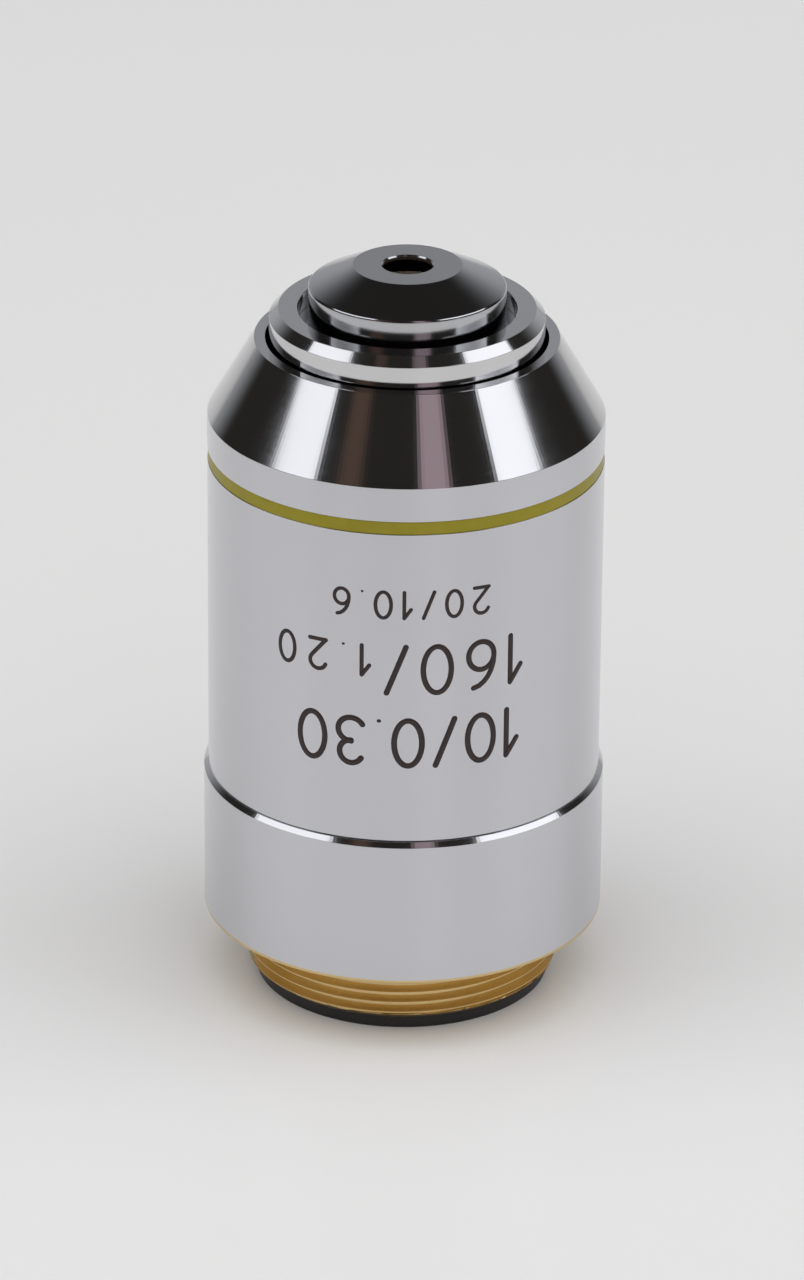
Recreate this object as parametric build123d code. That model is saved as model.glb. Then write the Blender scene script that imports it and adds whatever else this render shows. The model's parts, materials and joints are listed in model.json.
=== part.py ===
from build123d import *
import os
from math import copysign, sqrt

# A microscope objective that stands on the rear end of its mounting thread, nose up.
# Lengths are millimetres. The origin is on the optical axis, in the plane of the mounting
# shoulder, and +Z points to the nose. Every piece is turned: its half section, as points of
# (radius, height), goes once round the optical axis.

# Clearances between pieces, on the radius
screw_fit = 0.05            # between a screwed spigot and its bore
slide_fit = 0.03            # between the lens stack and the tube that it slides into
lens_fit = 0.02             # round the edge of a lens, and round the ring that holds it
cement_film = 0.02          # between the two glasses of a cemented pair

# Mounting thread, 0.8 inch with 36 turns to the inch, drawn as the cylinder of its crests
thread_crest_r = 10.1
thread_length = 4.0
thread_end_chamfer = 0.41
stub_wall = 1.4

# Black ring that is screwed into the rear end of the thread
rear_ring_step = 0.6        # how far it stays inside the thread's crests
rear_ring_thickness = 0.9
rear_ring_edge = 0.08
rear_ring_wall = 2.45
rear_ring_spigot = 2.5
rear_ring_end_gap = 0.5
rear_bore_chamfer = 0.4

# Base ring, with the shoulder that meets the microscope's nosepiece
base_height = 9.91
base_step = 0.29            # the base ring stands proud of the barrel by its own chamfer
shoulder_chamfer = 0.08
spigot_height = 5.35
spigot_wall = 1.24
spigot_chamfer = 0.25
seat_height = 2.86          # from the shoulder to the seat of the lens tube
seat_land = 2.48            # width of that seat

# Outer barrel
barrel_skirt_wall = 1.38
barrel_wall = 0.95
skirt_relief = 0.57         # the skirt is this much longer than the spigot inside it
cone_height = 5.08
rim_width = 0.7
mouth_gap = 0.23            # open ring between the barrel's mouth and the front ring
inner_cone_drop = 0.27

# Colour band, an enamel ring in a groove
band_drop = 2.23            # from the foot of the cone down to the band
band_width = 0.86
band_groove = 0.24
band_sink = 0.03

# Lens tube and what clamps it
shim_thickness = 0.2
tube_flange_width = 1.29
tube_flange_height = 1.91
tube_wall = 1.43
tube_recess = 0.95
neck_wall = 0.86
lock_ring_height = 2.86

# Front ring, screwed over the neck of the lens tube
ring_wall = 0.64
ring_skirt = 5.12
ring_end_gap = 0.1
ring_lip_thickness = 1.15
ring_chamfer = 0.58
ring_proud = 1.96           # from the barrel's rim up to the top of the ring

# Front cell, the dark nose of the objective
nose_gap = 0.67             # open ring between the nose and the front ring
nose_wall_height = 2.64
nose_cone_height = 1.38
nose_cone_width = 2.81
nose_face_thickness = 0.92
nose_hole_r = 1.57
nose_hole_edge = 0.1
nose_hole_land = 0.29
front_flange = 1.05
front_spigot = 3.78
front_lens_r = 4.01
front_lens_wall = 2.24
front_lens_land = 0.95
front_lens_edge = 2.39
front_lens_sag = 0.95
front_retainer_step = 0.62
front_retainer_height = 1.24

# Lens stack: each cell has a lip, a lens, a screwed ring and an open tail
lens_r = 5.54
cell_wall = 1.59
cell_lip = 0.76
cell_tail = 0.57
lens_land = 0.57            # flat rim of a lens, where its lip or its ring bears
retainer_height = 1.15
slot_width = 0.9
slot_depth = 0.5
spacer_wall = 1.15
front_spacer_height = 1.72
middle_spacer_height = 3.05
rear_spacer_height = 3.25
stop_thickness = 0.76
stop_step = 0.95            # the stop's hole is this much smaller than the lens faces beside it
stop_edge = 0.2
stack_ring_height = 2.2
stack_ring_wall = 1.81

# Lenses of the stack. A sag is how far a face bulges out, or is hollow where it is negative
second_lens_edge = 1.53
second_lens_front_sag = 0.57
second_lens_rear_sag = 0.86
crown_edge = 0.86
crown_front_sag = 0.62
cemented_sag = 1.15
flint_edge = 2.29
flint_rear_sag = -0.33
rear_lens_edge = 2.48
rear_lens_front_sag = 0.67
rear_lens_rear_sag = -0.86

# Radii, from the lenses outwards
lens_bore_r = lens_r + lens_fit
lens_face_r = lens_r - lens_land
stop_r = lens_face_r - stop_step
stack_r = lens_r + cell_wall
tube_bore_r = stack_r + slide_fit
tube_r = tube_bore_r + tube_wall
tube_flange_r = tube_r + tube_flange_width
base_bore_r = tube_flange_r + screw_fit
light_bore_r = base_bore_r - seat_land
spigot_r = base_bore_r + spigot_wall
skirt_bore_r = spigot_r + screw_fit
barrel_r = skirt_bore_r + barrel_skirt_wall
base_r = barrel_r + base_step
stub_bore_r = thread_crest_r - stub_wall

# Radii of the front, from the front lens outwards
front_lens_face_r = front_lens_r - front_lens_land
front_retainer_r = front_lens_r + front_retainer_step
nose_r = front_lens_r + front_lens_wall
ring_mouth_r = nose_r + nose_gap
neck_r = tube_bore_r + neck_wall
ring_bore_r = neck_r + screw_fit
ring_r = ring_bore_r + ring_wall
mouth_r = ring_r + mouth_gap

# Heights of the stack, from the seat of the lens tube up to the nose
thread_end_z = -thread_length
tube_foot_z = seat_height + shim_thickness
stack_ring_z = tube_foot_z + tube_recess
rear_cell_z = stack_ring_z + stack_ring_height
rear_cell_top_z = rear_cell_z + cell_tail + retainer_height + rear_lens_edge + cell_lip
rear_doublet_z = rear_cell_top_z + rear_spacer_height
doublet_edge = flint_edge + crown_edge
stop_z = rear_doublet_z + cell_tail + retainer_height + doublet_edge + cell_lip
front_doublet_z = stop_z + stop_thickness
front_doublet_top_z = front_doublet_z + cell_tail + retainer_height + doublet_edge + cell_lip
second_cell_z = front_doublet_top_z + middle_spacer_height
second_cell_top_z = second_cell_z + cell_tail + retainer_height + second_lens_edge + cell_lip
front_cell_z = second_cell_top_z + front_spacer_height
tube_top_z = front_cell_z + front_spigot
flange_top_z = tube_top_z + front_flange
ring_top_z = flange_top_z + ring_lip_thickness
nose_edge_z = flange_top_z + nose_wall_height
nose_z = nose_edge_z + nose_cone_height
front_lens_top_z = nose_z - nose_face_thickness
front_lens_foot_z = front_lens_top_z - front_lens_edge
front_retainer_z = front_lens_foot_z - front_retainer_height

# Heights of the barrel, which ends a fixed step below the front ring
rim_z = ring_top_z - ring_proud
cone_foot_z = rim_z - cone_height
band_top_z = cone_foot_z - band_drop
band_foot_z = band_top_z - band_width


def turned(*outline):
    """One solid, turned about the optical axis from the (radius, height) points of its section."""
    return revolve(Plane.XZ * make_face(Polyline(*outline, close=True)), Axis.Z)


def ball_face(face_r, rim_z, sag):
    """Half of a lens face, from its rim to its pole; the sag is positive where the pole is higher."""
    pole_z = rim_z + sag
    if sag == 0:
        return Line((face_r, rim_z), (0, pole_z))
    ball_r = (face_r**2 + sag**2) / (2 * abs(sag))
    middle_r = face_r / 2
    middle_drop = copysign(ball_r - sqrt(ball_r**2 - middle_r**2), sag)
    return ThreePointArc((face_r, rim_z), (middle_r, pole_z - middle_drop), (0, pole_z))


def lens(edge_r, low_z, high_z, low_face_r, low_sag, high_face_r, high_sag):
    """A lens between two heights of its edge, with a face on each side that may bulge or be hollow."""
    rim = [(low_face_r, low_z), (edge_r, low_z), (edge_r, high_z), (high_face_r, high_z)]
    corners = list(dict.fromkeys(rim))
    axis_line = Line((0, low_z - low_sag), (0, high_z + high_sag))
    faces = [ball_face(low_face_r, low_z, -low_sag), ball_face(high_face_r, high_z, high_sag)]
    return revolve(Plane.XZ * make_face([axis_line, Polyline(*corners), *faces]), Axis.Z)


def slotted(ring, foot_z, width=slot_width, depth=slot_depth):
    """The ring, with two slots for a pin spanner across its lower face."""
    return ring - Pos(0, 0, foot_z) * Box(4 * barrel_r, width, 2 * depth)


def cell(foot_z, top_z):
    """A lens cell: open bore from below, up to the lip that the lens bears on."""
    return turned(
        (lens_bore_r, foot_z), (stack_r, foot_z), (stack_r, top_z),
        (lens_face_r, top_z), (lens_face_r, top_z - cell_lip), (lens_bore_r, top_z - cell_lip),
    )


def retainer(foot_z):
    """The screwed ring that holds a lens against the lip of its cell."""
    ring_outer_r = lens_bore_r - lens_fit
    ring = turned(
        (lens_face_r, foot_z), (ring_outer_r, foot_z),
        (ring_outer_r, foot_z + retainer_height), (lens_face_r, foot_z + retainer_height),
    )
    return slotted(ring, foot_z)


def spacer(foot_z, height):
    """A plain ring that keeps two cells apart."""
    inner_r = stack_r - spacer_wall
    return turned(
        (inner_r, foot_z), (stack_r, foot_z), (stack_r, foot_z + height), (inner_r, foot_z + height)
    )


def doublet(foot_z):
    """The two glasses of a cemented pair, the flint below and the crown above."""
    joint_z = foot_z + flint_edge
    top_z = joint_z + crown_edge
    flint = lens(
        lens_r, foot_z, joint_z - cement_film,
        lens_face_r, flint_rear_sag, lens_r, -cemented_sag,
    )
    crown = lens(lens_r, joint_z, top_z, lens_r, cemented_sag, lens_face_r, crown_front_sag)
    return flint, crown


def mount_base():
    """The base ring, with the thread stub below its shoulder and the barrel's spigot above it."""
    spigot_top_z = base_height + spigot_height
    stub_floor_z = thread_end_z + rear_ring_spigot + rear_ring_end_gap
    return turned(
        (stub_bore_r, thread_end_z),
        (thread_crest_r - thread_end_chamfer, thread_end_z),
        (thread_crest_r, thread_end_z + thread_end_chamfer),
        (thread_crest_r, 0),
        (base_r - shoulder_chamfer, 0),
        (base_r, shoulder_chamfer),
        (base_r, base_height - base_step),
        (barrel_r, base_height),
        (spigot_r, base_height),
        (spigot_r, spigot_top_z - spigot_chamfer),
        (spigot_r - spigot_chamfer, spigot_top_z),
        (base_bore_r, spigot_top_z),
        (base_bore_r, seat_height),
        (light_bore_r, seat_height),
        (light_bore_r, stub_floor_z),
        (stub_bore_r, stub_floor_z),
    )


def rear_stop_ring():
    """The black ring under the thread, which the objective stands on."""
    foot_z = thread_end_z - rear_ring_thickness
    ring_outer_r = thread_crest_r - rear_ring_step
    spigot_outer_r = stub_bore_r - screw_fit
    bore_r = spigot_outer_r - rear_ring_wall
    spigot_top_z = thread_end_z + rear_ring_spigot
    ring = turned(
        (bore_r + rear_bore_chamfer, foot_z),
        (ring_outer_r - rear_ring_edge, foot_z),
        (ring_outer_r, foot_z + rear_ring_edge),
        (ring_outer_r, thread_end_z),
        (spigot_outer_r, thread_end_z),
        (spigot_outer_r, spigot_top_z),
        (bore_r, spigot_top_z),
        (bore_r, foot_z + rear_bore_chamfer),
    )
    return slotted(ring, foot_z)


def outer_barrel():
    """The barrel: a skirt round the spigot, a long wall with the band's groove, and the cone."""
    inner_r = barrel_r - barrel_wall
    skirt_top_z = base_height + spigot_height + skirt_relief
    rim_r = mouth_r + rim_width
    cone_slope = cone_height / (barrel_r - rim_r)
    inner_cone_foot_z = cone_foot_z - inner_cone_drop
    mouth_foot_z = inner_cone_foot_z + (inner_r - mouth_r) * cone_slope
    groove_r = barrel_r - band_groove
    return turned(
        (skirt_bore_r, base_height),
        (barrel_r, base_height),
        (barrel_r, band_foot_z), (groove_r, band_foot_z),
        (groove_r, band_top_z), (barrel_r, band_top_z),
        (barrel_r, cone_foot_z),
        (rim_r, rim_z),
        (mouth_r, rim_z),
        (mouth_r, mouth_foot_z),
        (inner_r, inner_cone_foot_z),
        (inner_r, skirt_top_z),
        (skirt_bore_r, skirt_top_z),
    )


def magnification_band():
    """The coloured enamel in the barrel's groove."""
    groove_r = barrel_r - band_groove
    enamel_r = barrel_r - band_sink
    return turned(
        (groove_r, band_foot_z), (enamel_r, band_foot_z),
        (enamel_r, band_top_z), (groove_r, band_top_z),
    )


def parfocal_shim():
    """The thin ring under the lens tube that sets its height."""
    return turned(
        (light_bore_r, seat_height), (tube_flange_r, seat_height),
        (tube_flange_r, tube_foot_z), (light_bore_r, tube_foot_z),
    )


def lens_tube():
    """The inner tube, with a flange at its foot and a thinner neck at its top."""
    neck_z = flange_top_z - ring_skirt - ring_end_gap
    flange_z = tube_foot_z + tube_flange_height
    return turned(
        (tube_bore_r, tube_foot_z), (tube_flange_r, tube_foot_z),
        (tube_flange_r, flange_z), (tube_r, flange_z),
        (tube_r, neck_z), (neck_r, neck_z),
        (neck_r, tube_top_z), (tube_bore_r, tube_top_z),
    )


def tube_lock_ring():
    """The screwed ring that clamps the flange of the lens tube to its seat in the base."""
    foot_z = tube_foot_z + tube_flange_height
    top_z = foot_z + lock_ring_height
    inner_r = tube_r + screw_fit
    outer_r = base_bore_r - screw_fit
    ring = turned((inner_r, foot_z), (outer_r, foot_z), (outer_r, top_z), (inner_r, top_z))
    return slotted(ring, top_z)


def front_ring():
    """The bright ring round the nose, whose lip clamps the front cell to the lens tube."""
    foot_z = flange_top_z - ring_skirt
    return turned(
        (ring_bore_r, foot_z),
        (ring_r, foot_z),
        (ring_r, ring_top_z - ring_chamfer),
        (ring_r - ring_chamfer, ring_top_z),
        (ring_mouth_r, ring_top_z),
        (ring_mouth_r, flange_top_z),
        (ring_bore_r, flange_top_z),
    )


def front_cell():
    """The nose: a wall and a flat cone with the light hole, a flange, and a spigot in the tube."""
    nose_top_r = nose_r - nose_cone_width
    flange_r = ring_bore_r - screw_fit
    bore_r = front_retainer_r + lens_fit
    seat_r = front_lens_r + lens_fit
    return turned(
        (bore_r, front_cell_z),
        (stack_r, front_cell_z),
        (stack_r, tube_top_z),
        (flange_r, tube_top_z),
        (flange_r, flange_top_z),
        (nose_r, flange_top_z),
        (nose_r, nose_edge_z),
        (nose_top_r, nose_z),
        (nose_hole_r + nose_hole_edge, nose_z),
        (nose_hole_r, nose_z - nose_hole_edge),
        (nose_hole_r, nose_z - nose_hole_land),
        (front_lens_face_r, front_lens_top_z),
        (seat_r, front_lens_top_z),
        (seat_r, front_lens_foot_z),
        (bore_r, front_lens_foot_z),
    )


def front_lens():
    """The thick front lens, flat towards the specimen."""
    return lens(
        front_lens_r, front_lens_foot_z, front_lens_top_z,
        front_lens_face_r, front_lens_sag, front_lens_face_r, 0,
    )


def front_lens_retainer():
    """The screwed ring behind the front lens."""
    ring = turned(
        (front_lens_face_r, front_retainer_z), (front_retainer_r, front_retainer_z),
        (front_retainer_r, front_lens_foot_z), (front_lens_face_r, front_lens_foot_z),
    )
    return slotted(ring, front_retainer_z)


def aperture_stop():
    """The thin black disc whose bevelled hole limits the light."""
    top_z = stop_z + stop_thickness
    return turned(
        (stop_r + stop_thickness - stop_edge, stop_z), (stack_r, stop_z), (stack_r, top_z),
        (stop_r, top_z), (stop_r, top_z - stop_edge),
    )


def stack_ring():
    """The screwed ring at the rear of the lens tube, which holds the whole stack."""
    inner_r = tube_bore_r - stack_ring_wall
    ring = turned(
        (inner_r, stack_ring_z), (stack_r, stack_ring_z),
        (stack_r, rear_cell_z), (inner_r, rear_cell_z),
    )
    return slotted(ring, stack_ring_z)


# The lenses of the stack, each above its ring
second_lens_z = second_cell_z + cell_tail + retainer_height
front_pair_z = front_doublet_z + cell_tail + retainer_height
rear_pair_z = rear_doublet_z + cell_tail + retainer_height
rear_lens_z = rear_cell_z + cell_tail + retainer_height
front_flint, front_crown = doublet(front_pair_z)
rear_flint, rear_crown = doublet(rear_pair_z)

pieces = {
    "mount_base": mount_base(),
    "rear_stop_ring": rear_stop_ring(),
    "parfocal_shim": parfocal_shim(),
    "lens_tube": lens_tube(),
    "tube_lock_ring": tube_lock_ring(),
    "outer_barrel": outer_barrel(),
    "magnification_band": magnification_band(),
    "front_ring": front_ring(),
    "front_cell": front_cell(),
    "front_lens": front_lens(),
    "front_lens_retainer": front_lens_retainer(),
    "front_spacer": spacer(second_cell_top_z, front_spacer_height),
    "second_cell": cell(second_cell_z, second_cell_top_z),
    "second_lens": lens(
        lens_r, second_lens_z, second_lens_z + second_lens_edge,
        lens_face_r, second_lens_rear_sag, lens_face_r, second_lens_front_sag,
    ),
    "second_lens_retainer": retainer(second_cell_z + cell_tail),
    "middle_spacer": spacer(front_doublet_top_z, middle_spacer_height),
    "front_doublet_cell": cell(front_doublet_z, front_doublet_top_z),
    "front_doublet_crown": front_crown,
    "front_doublet_flint": front_flint,
    "front_doublet_retainer": retainer(front_doublet_z + cell_tail),
    "aperture_stop": aperture_stop(),
    "rear_doublet_cell": cell(rear_doublet_z, stop_z),
    "rear_doublet_crown": rear_crown,
    "rear_doublet_flint": rear_flint,
    "rear_doublet_retainer": retainer(rear_doublet_z + cell_tail),
    "rear_spacer": spacer(rear_cell_top_z, rear_spacer_height),
    "rear_lens_cell": cell(rear_cell_z, rear_cell_top_z),
    "rear_lens": lens(
        lens_r, rear_lens_z, rear_lens_z + rear_lens_edge,
        lens_face_r, rear_lens_rear_sag, lens_face_r, rear_lens_front_sag,
    ),
    "rear_lens_retainer": retainer(rear_cell_z + cell_tail),
    "stack_ring": stack_ring(),
}

os.makedirs("parts", exist_ok=True)
for name, piece in pieces.items():
    export_step(piece, f"parts/{name}.step")

print(f"{len(pieces)} pieces, from {thread_end_z - rear_ring_thickness:.2f} to {nose_z:.2f} mm")
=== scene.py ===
# %% [markdown]
# # A low-power microscope objective
# The real one is a stack of lenses in a brass tube, inside a chromed barrel. It stands here on the
# rear end of its mounting thread, nose up. Nearly every piece of it comes off a lathe, so one
# Geometry Nodes tree turns each half section round the optical axis. The rest of the work is in how
# chrome, brass, enamel and glass take the light.
#
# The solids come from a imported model. They are the frame, in metres, and stay where they are. Sizes
# that only the looks need are named here in millimetres.

# %% Load the frame
import bpy
import json
from math import cos, pi, radians, sin, tan
from mathutils import Matrix, Vector


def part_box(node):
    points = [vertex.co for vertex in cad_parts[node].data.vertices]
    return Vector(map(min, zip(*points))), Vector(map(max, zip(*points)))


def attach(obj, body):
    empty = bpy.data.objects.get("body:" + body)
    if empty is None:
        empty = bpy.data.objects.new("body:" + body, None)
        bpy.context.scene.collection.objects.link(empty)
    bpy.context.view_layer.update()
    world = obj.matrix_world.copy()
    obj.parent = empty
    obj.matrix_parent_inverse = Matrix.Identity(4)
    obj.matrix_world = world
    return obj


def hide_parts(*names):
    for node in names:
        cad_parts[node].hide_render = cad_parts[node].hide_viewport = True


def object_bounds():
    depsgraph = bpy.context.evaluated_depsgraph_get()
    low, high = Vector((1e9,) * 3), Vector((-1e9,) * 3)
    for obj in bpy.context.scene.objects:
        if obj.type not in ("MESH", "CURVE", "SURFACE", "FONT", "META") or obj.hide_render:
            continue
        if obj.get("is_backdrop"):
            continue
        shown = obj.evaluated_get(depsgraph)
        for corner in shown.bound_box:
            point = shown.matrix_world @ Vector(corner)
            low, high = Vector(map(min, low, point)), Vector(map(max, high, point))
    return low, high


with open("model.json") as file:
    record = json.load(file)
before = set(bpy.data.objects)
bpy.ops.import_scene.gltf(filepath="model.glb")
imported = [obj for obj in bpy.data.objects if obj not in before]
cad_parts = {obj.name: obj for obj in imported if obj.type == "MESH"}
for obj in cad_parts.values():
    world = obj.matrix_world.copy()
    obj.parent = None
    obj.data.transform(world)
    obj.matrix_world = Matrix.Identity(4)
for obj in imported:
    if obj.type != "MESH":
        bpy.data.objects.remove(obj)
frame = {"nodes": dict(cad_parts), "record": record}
nodes = frame["nodes"]
cad_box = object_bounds()
mm = 0.001
print(f"{len(nodes)} solids, {(cad_box[1] - cad_box[0]).z / mm:.2f} mm tall")

# %% [markdown]
# ## The camera
# A long lens a little under half a metre away looks down on the nose at about 25 degrees. A long
# lens keeps the sides of a cylinder nearly parallel, which is how small products are usually
# photographed. The hint of roll is the photographer's hand. Depth of field stays off.

# %% Place the camera
camera_place = Vector((-0.163, -408.974, 205.731)) * mm
camera_dip = radians(24.636)
camera_roll = radians(0.471)
lens_length = 197.16

camera = bpy.data.objects.new("camera", bpy.data.cameras.new("camera"))
camera.data.sensor_width = 36
camera.data.lens = lens_length
camera.matrix_world = (
    Matrix.Translation(camera_place)
    @ Matrix.Rotation(pi / 2 - camera_dip, 4, "X")
    @ Matrix.Rotation(camera_roll, 4, "Z")
)
bpy.context.scene.collection.objects.link(camera)
bpy.context.scene.camera = camera
bpy.context.scene.view_settings.view_transform = "Standard"
print(f"camera {camera_place.length / mm:.0f} mm from the shoulder")

# %% [markdown]
# ## Building node trees
# Every tree below is written in code, so two small helpers come first. One makes a node and fills
# its inputs, where a socket as a value means a link. The other is a short way to write sums.

# %% Helpers for node trees
def add(tree, kind, inputs=None, **settings):
    """A new node, with its settings, and with each named input linked or given its value."""
    made = tree.nodes.new(kind)
    for name, value in settings.items():
        setattr(made, name, value)
    for name, value in (inputs or {}).items():
        if isinstance(value, bpy.types.NodeSocket):
            tree.links.new(value, made.inputs[name])
        else:
            made.inputs[name].default_value = value
    return made


def maths(tree, operation, *values, clamp=False):
    """The result socket of one Math node."""
    inputs = dict(enumerate(values))
    return add(tree, "ShaderNodeMath", inputs, operation=operation, use_clamp=clamp).outputs[0]


def ramp(tree, value, low, high, to_low=0.0, to_high=1.0, smooth=True):
    """A value carried from one range to another, clamped, and eased at both ends if smooth."""
    inputs = {"Value": value, "From Min": low, "From Max": high, "To Min": to_low, "To Max": to_high}
    kind = "SMOOTHSTEP" if smooth else "LINEAR"
    return add(tree, "ShaderNodeMapRange", inputs, interpolation_type=kind).outputs["Result"]


# %% [markdown]
# ## The studio
# Chrome has almost no colour of its own, so it looks like the room around it. This room has a
# white table, a softbox on each side, a pale wall behind the object, and darkness above and behind
# the camera. The dark part matters as much as the lamps: without it the cone would be plain grey.
# A wide lamp overhead makes the table even. It is kept out of the chrome's reflections, where it
# would be a hard white patch.

# %% The table
table_height = cad_box[0].z
table_reach = 2.0
table_mesh = bpy.data.meshes.new("table")
corners = [(-1, -1), (1, -1), (1, 1), (-1, 1)]
corner_spots = [(x * table_reach, y * table_reach, table_height) for x, y in corners]
table_mesh.from_pydata(corner_spots, [], [range(4)])
table = bpy.data.objects.new("table", table_mesh)
bpy.context.scene.collection.objects.link(table)
table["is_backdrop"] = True
print(f"the table is at {table_height / mm:.1f} mm")


def table_top():
    """White acrylic sheet: pale, even, and just glossy enough to hold a blurred reflection."""
    material = bpy.data.materials.new("table top")
    material.use_nodes = True
    tree = material.node_tree
    shader = tree.nodes["Principled BSDF"]
    place = add(tree, "ShaderNodeTexCoord").outputs["Object"]
    haze = add(tree, "ShaderNodeTexNoise", {"Vector": place, "Scale": 6.0, "Detail": 3.0})
    shade = add(tree, "ShaderNodeMix", {0: haze.outputs["Fac"]}, data_type="RGBA")
    shade.inputs[6].default_value = (0.815, 0.813, 0.808, 1)
    shade.inputs[7].default_value = (0.83, 0.83, 0.83, 1)
    tree.links.new(shade.outputs[2], shader.inputs["Base Color"])
    tree.links.new(ramp(tree, haze.outputs["Fac"], 0.3, 0.7, 0.30, 0.36), shader.inputs["Roughness"])
    shader.inputs["Specular IOR Level"].default_value = 0.35
    return material


table.data.materials.append(table_top())

# %% The lamps
def softbox(name, azimuth, elevation, half_wide, half_high, distance, radiance, color=(1, 1, 1)):
    """A square lamp that faces the object. Azimuth 0 is the camera's side; angles are in degrees."""
    lamp = bpy.data.lights.new(name, "AREA")
    lamp.shape = "RECTANGLE"
    lamp.size = 2 * distance * tan(radians(half_wide))
    lamp.size_y = 2 * distance * tan(radians(half_high))
    lamp.energy = radiance * pi * lamp.size * lamp.size_y
    lamp.color = color
    holder = bpy.data.objects.new(name, lamp)
    a, e = radians(azimuth), radians(elevation)
    towards = Vector((sin(a) * cos(e), -cos(a) * cos(e), sin(e)))
    middle = (cad_box[0] + cad_box[1]) / 2
    turn = towards.to_track_quat("Z", "Y").to_matrix().to_4x4()
    holder.matrix_world = Matrix.Translation(middle + towards * distance) @ turn
    holder.visible_camera = False
    bpy.context.scene.collection.objects.link(holder)
    return holder


box_colour = (0.975, 0.99, 1.035)
left_box = softbox("left softbox", -78.5, 41, 19.5, 17, 1.0, 1.3, box_colour)
right_box = softbox("right softbox", 82, 40.5, 22, 17, 1.0, 1.4, box_colour)
top_fill = softbox("overhead fill", 0, 72, 44, 44, 1.8, 1.38, (1.005, 1.0, 0.985))
top_fill.visible_glossy = False
for lamp_holder in (left_box, right_box, top_fill):
    lamp = lamp_holder.data
    print(f"{lamp_holder.name}: {lamp.size:.2f} by {lamp.size_y:.2f} m, {lamp.energy:.2f} W")

# %% [markdown]
# The room itself is the world shader. It works from the direction that a ray looks in: a pale wall
# low down behind the object, and two narrow dim cards on the camera's side, one rosy and one brown,
# which give the polished cone its two coloured streaks. Rays from the camera see plain pale grey
# instead, so that any view has a pale background.

# %% The room
def room():
    """The world shader, by the direction of the ray: x to the right, y away from the camera."""
    world = bpy.data.worlds.new("room")
    world.use_nodes = True
    tree = world.node_tree
    tree.nodes.clear()
    way = add(tree, "ShaderNodeTexCoord").outputs["Generated"]
    parts = add(tree, "ShaderNodeSeparateXYZ", {0: way}).outputs
    side, ahead, height = parts["X"], parts["Y"], parts["Z"]
    flat = add(tree, "ShaderNodeCombineXYZ", {"X": side, "Y": ahead}).outputs[0]
    flat_length = add(tree, "ShaderNodeVectorMath", {0: flat}, operation="LENGTH").outputs["Value"]
    facing_wall = maths(tree, "DIVIDE", ahead, flat_length)
    wall = maths(
        tree, "MULTIPLY",
        ramp(tree, facing_wall, cos(radians(58)), cos(radians(26))),
        ramp(tree, height, sin(radians(12)), sin(radians(50)), 1.0, 0.0),
    )
    azimuth = maths(tree, "ARCTAN2", side, maths(tree, "MULTIPLY", ahead, -1.0))

    def card(from_azimuth, to_azimuth, soft):
        """A narrow upright band on the camera's side, between two azimuths in degrees."""
        rise = ramp(tree, azimuth, radians(from_azimuth - soft), radians(from_azimuth + soft))
        fall = ramp(tree, azimuth, radians(to_azimuth - soft), radians(to_azimuth + soft), 1.0, 0.0)
        band = maths(tree, "MULTIPLY", rise, fall)
        tall = ramp(tree, height, sin(radians(60)), sin(radians(75)), 1.0, 0.0)
        return maths(tree, "MULTIPLY", band, tall)

    dark = (0.024, 0.0225, 0.021, 1)
    shade = add(tree, "ShaderNodeMix", {0: wall, 6: dark, 7: (0.43, 0.44, 0.46, 1)}, data_type="RGBA")
    rosy = {0: card(9, 27, 3), 6: shade.outputs[2], 7: (0.40, 0.31, 0.34, 1)}
    shade = add(tree, "ShaderNodeMix", rosy, data_type="RGBA")
    brown = {0: card(-42, -28, 4), 6: shade.outputs[2], 7: (0.095, 0.062, 0.048, 1)}
    shade = add(tree, "ShaderNodeMix", brown, data_type="RGBA")
    ray = add(tree, "ShaderNodeLightPath").outputs
    open_view = maths(tree, "MAXIMUM", ray["Is Camera Ray"], ray["Is Transmission Ray"])
    seen = {0: open_view, 6: shade.outputs[2], 7: (0.70, 0.70, 0.70, 1)}
    seen = add(tree, "ShaderNodeMix", seen, data_type="RGBA")
    light = add(tree, "ShaderNodeBackground", {"Color": seen.outputs[2]})
    add(tree, "ShaderNodeOutputWorld", {"Surface": light.outputs[0]})
    return world


bpy.context.scene.world = room()
print("the room's shader has", len(bpy.context.scene.world.node_tree.nodes), "nodes")

# %% [markdown]
# ## A lathe made of nodes
# A turned piece is its half section taken once round the axis. The tree below starts from a flat
# grid, with one column for each step round and one row for each point of the section. Each point of
# the grid looks up its row's point and turns it by its column's angle. Merging the doubles closes
# the seam, and the poles too where a piece reaches the axis.
#
# The sections come from plain corner points. Real edges are never sharp, because the turner breaks
# them, and it is the small round on each edge that catches the light. So each corner has its own
# radius, and a point beside each arc keeps the long flats perfectly flat in the shading.

# %% Rounded half sections
arc_steps = 4
support_share = 0.5


def rounded(before, corner, after):
    """The points that replace one corner of (radius, height, corner radius, finish), in mm."""
    here, corner_radius = Vector(corner[:2]), corner[2]
    if corner_radius == 0:
        return [here]
    to_before = (Vector(before[:2]) - here).normalized()
    to_after = (Vector(after[:2]) - here).normalized()
    half_angle = to_before.angle(to_after) / 2
    reach = corner_radius / tan(half_angle)
    middle = here + (to_before + to_after).normalized() * corner_radius / sin(half_angle)
    start, end = here + to_before * reach, here + to_after * reach
    points = [start + to_before * reach * support_share]
    turn = (start - middle).angle_signed(end - middle)
    for step in range(arc_steps + 1):
        spoke = (start - middle).copy()
        spoke.rotate(Matrix.Rotation(-turn * step / arc_steps, 2))
        points.append(middle + spoke)
    points.append(end + to_after * reach * support_share)
    return points


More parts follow.
